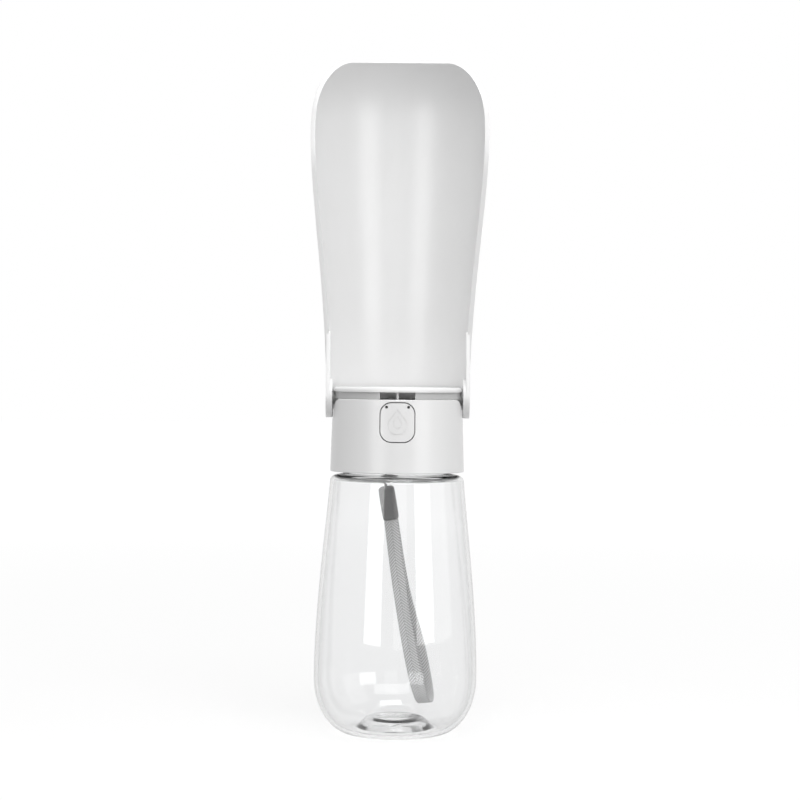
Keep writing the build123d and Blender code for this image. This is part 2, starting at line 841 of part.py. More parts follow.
# ---- Button ----
tab_r = collar_high_in - tab_play
with BuildPart() as button_skirt:
    with BuildSketch(Plane.XY.offset(valve_z - button_h / 2)):
        Circle(collar_top_r - button_t / 2)
        Circle(button_skirt_r, mode=Mode.SUBTRACT)
    extrude(amount=button_h)
    with BuildSketch(front_plane) as frame_outline:
        button_outline(0)
        button_outline(-skirt_ring_t, mode=Mode.SUBTRACT)
    extrude(frame_outline.sketch, amount=collar_foot_r, mode=Mode.INTERSECT)

with BuildPart() as button_tabs:
    with BuildSketch(Plane.XY.offset(valve_z - tab_h / 2)):
        Circle(tab_r)
        Circle(button_skirt_r, mode=Mode.SUBTRACT)
    extrude(amount=tab_h)
    with BuildSketch(front_plane) as tab_outline:
        Rectangle(button_w + 2 * tab_w, tab_h)
        Rectangle(button_w - 2 * skirt_ring_t, tab_h, mode=Mode.SUBTRACT)
    extrude(tab_outline.sketch, amount=collar_foot_r, mode=Mode.INTERSECT)

with BuildPart() as drop_sign:
    collar_layer(button_h / 2, -sign_depth, sign_depth)
    with BuildSketch(front_plane) as grooves:
        for height in (sign_h, sign_inner_h):
            drop_outline(height)
            drop_outline(height - 2.6 * sign_groove, mode=Mode.SUBTRACT)
    extrude(grooves.sketch, amount=2 * collar_foot_r, mode=Mode.INTERSECT)

dot_level = valve_z + dot_z
dot_face_y = -math.sqrt(collar_r_at(dot_level) ** 2 - dot_x**2)
dot_plane = Plane((0, dot_face_y + dot_depth, dot_level), x_dir=(1, 0, 0), z_dir=(0, -1, 0))
with BuildPart() as button_cap:
    collar_layer(button_h / 2, 0, button_t)
    with BuildSketch(front_plane) as face_outline:
        button_outline(0)
    extrude(face_outline.sketch, amount=collar_foot_r, mode=Mode.INTERSECT)
    add(button_skirt.part)
    add(button_tabs.part)
    turned([
        (spring_disc_y - spring_disc_t, 0),
        (spring_disc_y - spring_disc_t, spring_disc_r),
        (spring_disc_y, spring_disc_r),
        (spring_disc_y, hub_r),
        (hub_y, hub_r),
        (hub_y, 0),
    ])
    shaft_hole_r = shaft_r + tight_fit
    turned(
        [(shaft_y, 0), (shaft_y, shaft_hole_r), (hub_y, shaft_hole_r), (hub_y, 0)],
        mode=Mode.SUBTRACT,
    )
    add(drop_sign.part, mode=Mode.SUBTRACT)
    with BuildSketch(dot_plane) as pockets:
        with GridLocations(2 * dot_x, 1, 2, 1):
            Circle(dot_r + tight_fit)
    extrude(pockets.sketch, amount=2 * dot_depth, mode=Mode.SUBTRACT)
button_cap.part.label = "button_cap"
export_step(button_cap.part, "parts/button_cap.step")

with BuildPart() as button_dots:
    with BuildSketch(dot_plane):
        with GridLocations(2 * dot_x, 1, 2, 1):
            Circle(dot_r)
    extrude(amount=dot_depth)
button_dots.part.label = "button_dots"
export_step(button_dots.part, "parts/button_dots.step")

# ---- Trough, drawn closed over the front of the bottle and then opened ----
rim_tip_y = tip_cut - bottle_r
ear_plane = Plane.YZ.offset(ear_in)
reach = 2 * bottle_r
with BuildPart() as trough_closed:
    with BuildSketch(Plane.XZ):
        with BuildLine():
            trough_half(0, tip_drop)
        make_face()
    revolve(axis=Axis.Z)
    with BuildSketch(Plane.YZ) as front_half:
        with BuildLine():
            Bezier(
                (rim_tip_y, tip_z),
                (rim_tip_y + tip_pull, tip_z),
                (0, tip_z + rim_start - rim_pull),
                (0, tip_z + rim_start),
            )
            Polyline(
                (0, tip_z + rim_start),
                (0, pivot_z + floor_lift),
                (-reach, pivot_z + floor_lift),
                (-reach, tip_z),
                (rim_tip_y, tip_z),
            )
        make_face()
    extrude(front_half.sketch, amount=reach, both=True, mode=Mode.INTERSECT)
    # ears, each with a tongue that runs out along the rim
    with BuildSketch(ear_plane) as ear:
        with Locations((0, pivot_z)):
            Circle(ear_r)
        with Locations((-tongue_r, pivot_z - ear_tongue)):
            Circle(tongue_r)
        make_hull()
    right_ear = extrude(ear.sketch, amount=ear_t)
    mirror(right_ear, about=Plane.YZ)
    with BuildSketch(Plane.XZ) as hollow:
        with BuildLine():
            trough_half(trough_wall, tip_inner_drop)
        make_face()
    revolve(hollow.sketch, axis=Axis.Z, mode=Mode.SUBTRACT)
    for side in (-1, 1):
        head_seat_x = pin_head_x - head_play
        hinge_round(side, ear_in - ear_boss_out, ear_r, ear_boss_out)
        hinge_round(side, collar_foot_r / 2, pin_r + pin_play, collar_foot_r, mode=Mode.SUBTRACT)
        hinge_round(side, head_seat_x, pin_head_r + head_play, ear_t, mode=Mode.SUBTRACT)
        hinge_round(side, washer_seat, pin_head_r + head_play, -ear_boss_out, mode=Mode.SUBTRACT)

with BuildPart() as trough:
    add(trough_closed.part.rotate(hinge_axis, -open_angle))
trough.part.label = "trough"
export_step(trough.part, "parts/trough.step")

for side_name, side in (("left", -1), ("right", 1)):
    with BuildPart() as hinge_pin:
        hinge_round(side, boss_out - pin_depth, pin_r, pin_head_x - boss_out + pin_depth)
        hinge_round(side, pin_head_x, pin_head_r, pin_head_t)
    hinge_pin.part.label = f"hinge_pin_{side_name}"
    export_step(hinge_pin.part, f"parts/hinge_pin_{side_name}.step")

    with BuildPart() as hinge_washer:
        hinge_round(side, boss_out + washer_play, pin_head_r, washer_t)
        hinge_round(side, boss_out, pin_r + pin_play, 2 * washer_t, mode=Mode.SUBTRACT)
    hinge_washer.part.label = f"hinge_washer_{side_name}"
    export_step(hinge_washer.part, f"parts/hinge_washer_{side_name}.step")

# ---- Lanyard ----
string_plane = Plane(hang.origin, x_dir=hang.y_dir, z_dir=hang.x_dir)
with BuildPart() as lanyard_string:
    string_end = -(clamp_drop + string_bite)
    with BuildLine(string_plane) as string_path:
        Line((-string_bend, string_end), (-string_bend, 0))
        CenterArc((0, 0), string_bend, 180, arc_size=-180)
        Line((string_bend, 0), (string_bend, string_end))
    string_line = string_path.wires()[0]
    with BuildSketch(Plane(string_line @ 0, z_dir=string_line % 0)) as string_section:
        Circle(string_r)
    sweep(string_section.sketch, path=string_line)
lanyard_string.part.label = "lanyard_string"
export_step(lanyard_string.part, "parts/lanyard_string.step")

clamp_base = hang.offset(-clamp_drop - clamp_h).origin
strap_across = hang.x_dir * math.cos(yaw_rad) - hang.y_dir * math.sin(yaw_rad)
strap_apart = hang.x_dir * math.sin(yaw_rad) + hang.y_dir * math.cos(yaw_rad)
clamp_plane = Plane(clamp_base, x_dir=strap_across, z_dir=hang.z_dir)
with BuildPart() as lanyard_clamp:
    with BuildSketch(clamp_plane) as clamp_outline:
        RectangleRounded(clamp_w, clamp_t, clamp_round)
    extrude(clamp_outline.sketch, amount=clamp_h)
    with BuildSketch(clamp_plane) as strap_pocket:
        Rectangle(strap_w + 2 * tight_fit, 2 * strap_rest + strap_t + 2 * tight_fit)
    extrude(strap_pocket.sketch, amount=strap_bite + tight_fit, mode=Mode.SUBTRACT)
    with BuildSketch(hang.offset(-clamp_drop)) as string_holes:
        with GridLocations(1, 2 * string_bend, 1, 2):
            Circle(string_r + tight_fit)
    extrude(string_holes.sketch, amount=-string_bite - tight_fit, mode=Mode.SUBTRACT)
lanyard_clamp.part.label = "lanyard_clamp"
export_step(lanyard_clamp.part, "parts/lanyard_clamp.step")

strap_plane = Plane(clamp_base, x_dir=strap_apart, z_dir=strap_across)
strap_radii = route_radii(strap_route)
with BuildPart() as lanyard_strap:
    with BuildLine(strap_plane) as strap_path:
        FilletPolyline(*strap_route, radius=strap_radii)
    strap_line = strap_path.wires()[0]
    with BuildSketch(Plane(strap_line @ 0, x_dir=strap_across, z_dir=strap_line % 0)) as band:
        Rectangle(strap_w, strap_t)
    sweep(band.sketch, path=strap_line)
lanyard_strap.part.label = "lanyard_strap"
export_step(lanyard_strap.part, "parts/lanyard_strap.step")

print("strap radii", [round(radius, 1) for radius in strap_radii])
print("strap length", round(strap_line.length, 1), "string length", round(string_line.length, 1))
print("strap volume over section times length",
      round(lanyard_strap.part.volume / (strap_w * strap_t * strap_line.length), 4))
coil_gap = coil_l / spring_turns - 2 * wire_r
print("spring's least gap between turns, relaxed and pressed",
      round(coil_gap, 2), round(coil_gap - button_travel / spring_turns, 2))
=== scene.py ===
"""Looks of a dog travel water bottle: clear bottle, white head, open drinking trough, wrist lanyard.

Lengths are in millimetres and turned into metres where a mesh is made. +Z is up, and the button and the
open side of the trough face -Y. The bottle's axis is the Z axis.
"""

import json
import math

import bpy
from mathutils import Matrix, Vector


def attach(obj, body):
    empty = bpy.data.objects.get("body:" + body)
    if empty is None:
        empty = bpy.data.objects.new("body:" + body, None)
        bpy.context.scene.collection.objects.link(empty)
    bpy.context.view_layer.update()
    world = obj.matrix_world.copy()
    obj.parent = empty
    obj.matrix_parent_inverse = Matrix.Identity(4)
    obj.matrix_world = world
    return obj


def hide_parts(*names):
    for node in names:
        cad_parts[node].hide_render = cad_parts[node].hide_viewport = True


MM = 0.001
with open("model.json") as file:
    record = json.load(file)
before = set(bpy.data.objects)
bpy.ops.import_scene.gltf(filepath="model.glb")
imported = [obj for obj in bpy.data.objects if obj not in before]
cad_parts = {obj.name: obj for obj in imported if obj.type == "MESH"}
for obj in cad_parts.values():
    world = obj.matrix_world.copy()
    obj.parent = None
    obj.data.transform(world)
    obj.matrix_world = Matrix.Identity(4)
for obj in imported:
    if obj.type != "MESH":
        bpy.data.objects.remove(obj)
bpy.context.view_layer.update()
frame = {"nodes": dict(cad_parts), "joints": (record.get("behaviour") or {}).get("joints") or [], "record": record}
NODES = frame["nodes"]
JOINTS = {joint["name"]: joint for joint in frame["joints"]}

# ---- Sizes of the bottle, in millimetres ----
FOOT_R = 20.0
FOOT_WIDTH = 2.5
PUSHUP_R = 13.0
PUSHUP_RISE = 5.0
BASE_WALL = 3.0
BELLY_R = 38.0
BELLY_Z = 26.0
BELLY_PULL = 30.0
SHOULDER_R = 31.3
SHOULDER_Z = 117.5
SHOULDER_PULL = 30.0
SHOULDER_SLOPE = 0.09
SHOULDER_ROUND = 3.4
SHOULDER_RISE = 0.5
BOTTLE_WALL = 1.8
NECK_R = 24.3
NECK_BORE_R = 22.2
NECK_TOP = 133.0
NECK_Z = SHOULDER_Z + SHOULDER_ROUND + SHOULDER_RISE
THREAD_PITCH = 3.5
THREAD_TURNS = 1.5
THREAD_DEPTH = 1.2
THREAD_FOOT = 1.8
THREAD_TIP = 0.8
THREAD_START = 4.0

# ---- Sizes of the trough ----
TROUGH_R = 41.3
TROUGH_WALL = 2.1
TROUGH_NECK_R = 33.6
TROUGH_NECK_Z = 100.0
TROUGH_BELLY_PULL = 42.0
TROUGH_TOP_R = 33.1
TROUGH_TIP_DROP = 10.0
TROUGH_FLOOR_LIFT = 6.6
TIP_Z = 0.8
RIM_TIP_Y = -26.0
RIM_TIP_PULL = 10.8
RIM_START = 50.0
RIM_PULL = 20.0
RIM_ROUND = 0.9
OPEN_ANGLE = 172.0
EAR_IN = 31.5
EAR_T = 1.9
EAR_R = 9.2
EAR_ROUND_IN = 30.3
WASHER_SEAT = 31.0
TONGUE_R = 1.2
TONGUE_L = 30.0
PIN_HOLE_R = 2.05
PIN_HEAD_HOLE_R = 3.7
PIN_HEAD_DEPTH = 1.3
WASHER_ROOM_R = 3.7

PIVOT = Vector(JOINTS["trough_fold"]["pos_m"]) / MM

# ---- Sizes of the lanyard ----
LUG = Vector(JOINTS["lanyard_swing"]["pos_m"]) / MM
LEAN = math.radians(10.0)
SWING_OUT = math.radians(5.5)
CLAMP_DROP = 13.8
CLAMP_H = 16.8
CLAMP_W = 8.2
CLAMP_T = 5.0
CLAMP_ROUND = 2.0
STRING_R = 0.65
STRAP_W = 7.2
STRAP_T = 1.0
STRAP_YAW = math.radians(20.0)
STRAP_REST = 0.55
STRAP_BITE = 3.0


# ---- Modelling helpers ----
def only(piece):
    """Select one piece alone and make it active."""
    bpy.ops.object.select_all(action="DESELECT")
    piece.select_set(True)
    bpy.context.view_layer.objects.active = piece


def edit(piece):
    only(piece)
    bpy.ops.object.mode_set(mode="EDIT")


def done():
    bpy.ops.object.mode_set(mode="OBJECT")


def finish_modifiers(piece):
    only(piece)
    for modifier in list(piece.modifiers):
        bpy.ops.object.modifier_apply(modifier=modifier.name)


def settle(piece):
    """Leave the object at the origin with its place in its mesh."""
    only(piece)
    bpy.ops.object.transform_apply(location=True, rotation=True, scale=True)


def smooth(piece, angle=35.0):
    only(piece)
    bpy.ops.object.shade_smooth_by_angle(angle=math.radians(angle))


def fresh(name, add, **settings):
    """Add a primitive with nothing else selected, and name it."""
    bpy.ops.object.select_all(action="DESELECT")
    add(**settings)
    bpy.context.object.name = name
    return bpy.context.object


def face_outwards(piece):
    edit(piece)
    bpy.ops.mesh.select_all(action="SELECT")
    bpy.ops.mesh.normals_make_consistent(inside=False)
    done()


def close_up(piece):
    """Merge doubled points and turn every face outwards."""
    edit(piece)
    bpy.ops.mesh.select_all(action="SELECT")
    bpy.ops.mesh.remove_doubles(threshold=0.002 * MM)
    done()
    face_outwards(piece)


def cap_ends(piece):
    """Merge doubled points and put a face across each open end."""
    edit(piece)
    bpy.ops.mesh.select_all(action="SELECT")
    bpy.ops.mesh.remove_doubles(threshold=0.001 * MM)
    bpy.ops.mesh.select_all(action="DESELECT")
    bpy.ops.mesh.select_non_manifold()
    bpy.ops.mesh.edge_face_add()
    done()


def join(first, *others):
    bpy.ops.object.select_all(action="DESELECT")
    for piece in (first, *others):
        piece.select_set(True)
    bpy.context.view_layer.objects.active = first
    bpy.ops.object.join()
    return first


def cut(piece, tool):
    """Take the tool's shape out of the piece, and delete the tool."""
    modifier = piece.modifiers.new("cut", "BOOLEAN")
    modifier.operation = "DIFFERENCE"
    modifier.object = tool
    modifier.solver = "EXACT"
    finish_modifiers(piece)
    bpy.data.objects.remove(tool)


def round_edges(piece, width, segments=3, angle=40.0):
    modifier = piece.modifiers.new("round", "BEVEL")
    modifier.width = width * MM
    modifier.segments = segments
    modifier.limit_method = "ANGLE"
    modifier.angle_limit = math.radians(angle)
    modifier.harden_normals = False
    modifier.miter_outer = "MITER_ARC"
    finish_modifiers(piece)


def bezier(points, t):
    """A point of a cubic curve, as a tuple."""
    a, b, c, d = points
    s = 1 - t
    return tuple(
        s**3 * a[k] + 3 * s * s * t * b[k] + 3 * s * t * t * c[k] + t**3 * d[k] for k in range(len(a))
    )


def turned(name, outline, steps=160):
    """Turn a closed outline of (radius, height) points about the bottle's axis, by extrude and spin."""
    piece = fresh(name, bpy.ops.mesh.primitive_plane_add, size=MM)
    edit(piece)
    bpy.ops.mesh.select_all(action="SELECT")
    bpy.ops.mesh.merge(type="CENTER")
    points = [Vector((r, 0, z)) * MM for r, z in outline]
    bpy.ops.transform.translate(value=points[0])
    for here, there in zip(points, points[1:] + points[:1]):
        bpy.ops.mesh.extrude_region_move(TRANSFORM_OT_translate={"value": there - here})
    bpy.ops.mesh.select_all(action="SELECT")
    bpy.ops.mesh.spin(steps=steps, angle=2 * math.pi, center=(0, 0, 0), axis=(0, 0, 1))
    done()
    close_up(piece)
    return piece


def opened(y, z):
    """Where a point of the closed trough lies once the trough is open."""
    turn = math.radians(-OPEN_ANGLE)
    dy, dz = y - PIVOT.y, z - PIVOT.z
    along, up = math.cos(turn), math.sin(turn)
    return PIVOT.y + dy * along - dz * up, PIVOT.z + dy * up + dz * along


# ---- Bottle ----
def bottle_side(inset):
    """Outline of the bottle's side from the foot to the shoulder, moved inwards by inset."""
    points = []
    arc_steps, side_steps, corner_steps = 26, 40, 6
    for step in range(1, arc_steps):
        turn = math.pi / 2 * step / arc_steps
        points.append((
            FOOT_R + (BELLY_R - inset - FOOT_R) * math.sin(turn),
            BELLY_Z - (BELLY_Z - inset) * math.cos(turn),
        ))
    side = [
        (BELLY_R - inset, BELLY_Z),
        (BELLY_R - inset, BELLY_Z + BELLY_PULL),
        (SHOULDER_R - inset + SHOULDER_SLOPE * SHOULDER_PULL, SHOULDER_Z - SHOULDER_PULL),
        (SHOULDER_R - inset, SHOULDER_Z),
    ]
    points += [bezier(side, step / side_steps) for step in range(side_steps + 1)]
    corner = SHOULDER_ROUND - inset
    for step in range(1, corner_steps + 1):
        turn = math.pi / 2 * step / corner_steps
        points.append((
            SHOULDER_R - SHOULDER_ROUND + corner * math.cos(turn),
            SHOULDER_Z + corner * math.sin(turn),
        ))
    return points


def make_bottle():
    """Clear body: its outline runs up the outside, over the neck's rounded lip and back down the inside."""
    lip = 0.35
    outside = [
        (0, PUSHUP_RISE),
        (PUSHUP_R - 3.0, PUSHUP_RISE - 0.1),
        (PUSHUP_R - 1.0, PUSHUP_RISE - 0.6),
        (PUSHUP_R + 0.4, PUSHUP_RISE - 1.6),
        (FOOT_R - FOOT_WIDTH - 0.8, 0.7),
        (FOOT_R - FOOT_WIDTH + 0.4, 0.1),
        (FOOT_R - FOOT_WIDTH + 1.0, 0),
        (FOOT_R, 0),
    ]
    neck = [
        (NECK_R + 1.0, NECK_Z - SHOULDER_RISE * 0.1),
        (NECK_R + 0.3, NECK_Z + 0.2),
        (NECK_R, NECK_Z + 1.0),
        (NECK_R, NECK_TOP - lip),
        (NECK_R - lip * 0.3, NECK_TOP - lip * 0.3),
        (NECK_R - lip, NECK_TOP),
        (NECK_BORE_R + lip, NECK_TOP),
        (NECK_BORE_R + lip * 0.3, NECK_TOP - lip * 0.3),
        (NECK_BORE_R, NECK_TOP - lip),
        (NECK_BORE_R, NECK_Z + 0.4),
        (NECK_BORE_R + 0.3, NECK_Z - BOTTLE_WALL + 0.6),
        (NECK_BORE_R + 1.2, NECK_Z - BOTTLE_WALL),
    ]
    floor_z = PUSHUP_RISE + BASE_WALL
    inside = [
        (FOOT_R, BOTTLE_WALL),
        (FOOT_R - 2.2, BOTTLE_WALL + 0.5),
        (PUSHUP_R + 2.2, floor_z - 2.2),
        (PUSHUP_R + 0.6, floor_z - 0.9),
        (PUSHUP_R - 1.2, floor_z - 0.15),
        (PUSHUP_R - 3.0, floor_z),
        (0, floor_z),
    ]
    inner_side = bottle_side(BOTTLE_WALL)[::-1]
    bottle = turned("clear_bottle", outside + bottle_side(0) + neck + inner_side + inside)
    join(bottle, make_thread())
    smooth(bottle, 40)
    return bottle


def make_thread():
    """Thread ridge of the neck: its section is turned up the neck by a screw modifier."""
    ridge = fresh("thread_ridge", bpy.ops.mesh.primitive_plane_add, size=MM)
    section = [
        (NECK_R - 0.15, -THREAD_FOOT / 2),
        (NECK_R + THREAD_DEPTH, -THREAD_TIP / 2),
        (NECK_R + THREAD_DEPTH, THREAD_TIP / 2),
        (NECK_R - 0.15, THREAD_FOOT / 2),
    ]
    start = NECK_Z + THREAD_START
    for vertex, corner in zip(ridge.data.vertices, (0, 1, 3, 2)):
        r, z = section[corner]
        vertex.co = Vector((r, 0, start + z)) * MM
    screw = ridge.modifiers.new("screw", "SCREW")
    screw.angle = 2 * math.pi * THREAD_TURNS
    screw.screw_offset = THREAD_PITCH * THREAD_TURNS * MM
    screw.steps = screw.render_steps = 120
    screw.use_normal_calculate = True
    finish_modifiers(ridge)
    cap_ends(ridge)
    close_up(ridge)
    return ridge


# ---- Trough ----
def trough_radius(z):
    """Outside radius of the closed trough at a height."""
    if z <= BELLY_Z:
        across = (BELLY_Z - z) / (BELLY_Z + TROUGH_TIP_DROP)
        return FOOT_R + (TROUGH_R - FOOT_R) * math.sqrt(1 - across * across)
    end_z = PIVOT.z + TROUGH_FLOOR_LIFT
    side = [
        (TROUGH_R, BELLY_Z),
        (TROUGH_R, BELLY_Z + TROUGH_BELLY_PULL),
        (TROUGH_NECK_R, TROUGH_NECK_Z),
        (TROUGH_TOP_R, end_z),
    ]
    low, high = 0.0, 1.0
    for _ in range(30):
        middle = (low + high) / 2
        if bezier(side, middle)[1] < z:
            low = middle
        else:
            high = middle
    return bezier(side, low)[0]


def trough_rows():
    """Heights of the closed trough's rows, each with how far forward its rim lies."""
    rim = [
        (RIM_TIP_Y, TIP_Z),
        (RIM_TIP_Y + RIM_TIP_PULL, TIP_Z),
        (0, TIP_Z + RIM_START - RIM_PULL),
        (0, TIP_Z + RIM_START),
    ]
    tip_steps, side_steps = 28, 34
    rows = []
    for step in range(tip_steps + 1):
        y, z = bezier(rim, (step / tip_steps) ** 1.15)
        rows.append((z, y))
    end_z = PIVOT.z + TROUGH_FLOOR_LIFT
    start_z = rows[-1][0]
    for step in range(1, side_steps + 1):
        rows.append((start_z + (end_z - start_z) * step / side_steps, 0.0))
    return rows


def make_trough():
    """A grid is bent into the trough's sheet, thickened and rounded at its rim, and given its two ears."""
    rows = trough_rows()
    columns = 72
    sheet = {"x_subdivisions": columns, "y_subdivisions": len(rows) - 1}
    trough = fresh("drinking_trough", bpy.ops.mesh.primitive_grid_add, size=2, **sheet)
    for index, vertex in enumerate(trough.data.vertices):
        row, column = divmod(index, columns + 1)
        z, rim_y = rows[row]
        radius = trough_radius(z)
        half_turn = math.acos(min(1.0, -rim_y / radius))
        turn = half_turn * (2 * column / columns - 1)
        y, height = opened(-radius * math.cos(turn), z)
        vertex.co = Vector((radius * math.sin(turn), y, height)) * MM
    face_outwards(trough)
    middle = trough.data.polygons[len(trough.data.polygons) // 2]
    if middle.normal.y < 0:
        edit(trough)
        bpy.ops.mesh.select_all(action="SELECT")
        bpy.ops.mesh.flip_normals()
        done()
    wall = trough.modifiers.new("wall", "SOLIDIFY")
    wall.thickness = TROUGH_WALL * MM
    wall.offset = -1
    wall.use_even_offset = True
    finish_modifiers(trough)
    round_edges(trough, RIM_ROUND, segments=4, angle=50)
    for side in (-1, 1):
        cut(trough, cylinder_x("washer_room", side * (WASHER_SEAT - 3), side * WASHER_SEAT, WASHER_ROOM_R))
        bore_for_pin(trough, side)
    ears = [make_ear(side) for side in (-1, 1)]
    rounds = [make_ear_round(side) for side in (-1, 1)]
    join(trough, *ears, *rounds)
    smooth(trough, 40)
    return trough


def bore_for_pin(piece, side):
    """Hole for the hinge pin, and the sunk seat of its head."""
    outer = EAR_IN + EAR_T
    cut(piece, cylinder_x("bore", side * (EAR_IN - 3), side * (outer + 2), PIN_HOLE_R))
    cut(piece, cylinder_x("seat", side * (outer - PIN_HEAD_DEPTH), side * (outer + 2), PIN_HEAD_HOLE_R))


def make_ear_round(side):
    """Thick round of an ear, turned about the hinge axis, with the washer's seat on its inner side."""
    edge = 0.35
    outline = [
        (PIN_HOLE_R, WASHER_SEAT),
        (WASHER_ROOM_R, WASHER_SEAT),
        (WASHER_ROOM_R, EAR_ROUND_IN),
        (EAR_R - edge, EAR_ROUND_IN),
        (EAR_R - edge * 0.3, EAR_ROUND_IN + edge * 0.3),
        (EAR_R, EAR_ROUND_IN + edge),
        (EAR_R, EAR_IN + 0.2),
        (PIN_HOLE_R, EAR_IN + 0.2),
    ]
    piece = fresh("ear_round", bpy.ops.mesh.primitive_circle_add, vertices=len(outline), radius=MM)
    for vertex, (radius, x) in zip(piece.data.vertices, outline):
        vertex.co = Vector((side * x, PIVOT.y, PIVOT.z + radius)) * MM
    edit(piece)
    bpy.ops.mesh.select_all(action="SELECT")
    bpy.ops.mesh.spin(steps=96, angle=2 * math.pi, center=PIVOT * MM, axis=(1, 0, 0))
    done()
    close_up(piece)
    return piece


def cylinder_x(name, x_start, x_end, radius, steps=64):
    """Cylinder on the hinge axis between two places along X."""
    piece = fresh(
        name,
        bpy.ops.mesh.primitive_cylinder_add,
        vertices=steps,
        radius=radius * MM,
        depth=abs(x_end - x_start) * MM,
        location=(((x_start + x_end) / 2) * MM, PIVOT.y * MM, PIVOT.z * MM),
        rotation=(0, math.pi / 2, 0),
    )
    settle(piece)
    return piece


def ear_outline():
    """Round end and narrow end of an ear, with straight sides between them, on the closed trough."""
    far = Vector((-TONGUE_R, -TONGUE_L))
    distance = far.length
    along = math.atan2(far.y, far.x)
    spread = math.acos((EAR_R - TONGUE_R) / distance)
    points = []
    big_steps, small_steps = 56, 8
    for step in range(big_steps + 1):
        turn = along + spread + (2 * math.pi - 2 * spread) * step / big_steps
        points.append((EAR_R * math.cos(turn), EAR_R * math.sin(turn)))
    for step in range(small_steps + 1):
        turn = along - spread + 2 * spread * step / small_steps
        points.append((far.x + TONGUE_R * math.cos(turn), far.y + TONGUE_R * math.sin(turn)))
    return points


def make_ear(side):
    """Flat ear on one side, with its pin hole and the sunk seat of the pin's head."""
    points = ear_outline()
    disc = {"vertices": len(points), "radius": EAR_R * MM, "fill_type": "NGON"}
    ear = fresh("ear_right" if side > 0 else "ear_left", bpy.ops.mesh.primitive_circle_add, **disc)
    for vertex, (y, z) in zip(ear.data.vertices, points):
        place_y, place_z = opened(PIVOT.y + y, PIVOT.z + z)
        vertex.co = Vector((side * EAR_IN, place_y, place_z)) * MM
    edit(ear)
    bpy.ops.mesh.select_all(action="SELECT")
    bpy.ops.mesh.extrude_region_move(TRANSFORM_OT_translate={"value": (side * EAR_T * MM, 0, 0)})
    done()
    close_up(ear)
    bore_for_pin(ear, side)
    round_edges(ear, 0.4, segments=3, angle=50)
    return ear


# ---- Lanyard ----
HANG_X = Vector((math.cos(LEAN), 0, math.sin(LEAN)))
HANG_UP = Vector((
    -math.sin(LEAN) * math.cos(SWING_OUT),
    -math.sin(SWING_OUT),
    math.cos(LEAN) * math.cos(SWING_OUT),
))
HANG_Y = HANG_UP.cross(HANG_X)
STRAP_ACROSS = HANG_X * math.cos(STRAP_YAW) - HANG_Y * math.sin(STRAP_YAW)
STRAP_APART = HANG_X * math.sin(STRAP_YAW) + HANG_Y * math.cos(STRAP_YAW)
CLAMP_TOP = LUG - HANG_UP * CLAMP_DROP
CLAMP_BASE = LUG - HANG_UP * (CLAMP_DROP + CLAMP_H)

# Cord round the bar: (front to back, up) from the bar's centre.
STRING_ROUTE = [
    (-1.8, -17.8),
    (-1.8, -9.0),
    (-1.85, -1.6),
    (-2.0, 2.1),
    (2.0, 2.1),
    (1.85, -1.6),
    (1.8, -9.0),
    (1.8, -17.8),
]

# Webbing's middle line below the clamp: (sideways, outwards, up), from one end to the other.
STRAP_ROUTE = [
    (0.0, -STRAP_REST, STRAP_BITE),
    (0.0, -STRAP_REST, -2.0),
    (-0.6, -1.4, -20.0),
    (-0.6, -2.4, -38.0),
    (0.0, -4.0, -60.0),
    (1.2, -5.2, -79.0),
    (2.2, -3.8, -91.2),
    (2.9, 3.8, -92.8),
    (2.6, 5.4, -80.0),
    (2.0, 4.4, -61.0),
    (-0.6, 2.6, -39.0),
    (-0.6, 1.4, -20.0),
    (0.0, STRAP_REST, -2.0),
    (0.0, STRAP_REST, STRAP_BITE),
]


def cord_line(name, points, thickness=0.0):
    """Smooth open curve along a route, round in section where it has a thickness."""
    data = bpy.data.curves.new(name, "CURVE")
    data.dimensions = "3D"
    spline = data.splines.new("NURBS")
    spline.points.add(len(points) - 1)
    for point, place in zip(spline.points, points):
        point.co = (*(place * MM), 1)
    spline.order_u = 3
    spline.use_endpoint_u = True
    spline.resolution_u = 12
    data.bevel_depth = thickness / 2 * MM
    data.bevel_resolution = 5
    data.use_fill_caps = thickness > 0
    curve = bpy.data.objects.new(name, data)
    bpy.context.scene.collection.objects.link(curve)
    return curve


def line_points(curve):
    """The points of a curve's own line."""
    mesh = bpy.data.meshes.new_from_object(curve)
    points = [vertex.co.copy() for vertex in mesh.vertices]
    bpy.data.meshes.remove(mesh)
    return points


def make_string():
    points = [LUG + HANG_Y * out + HANG_UP * up for out, up in STRING_ROUTE]
    return cord_line("wrist_string", points, 2 * STRING_R), points


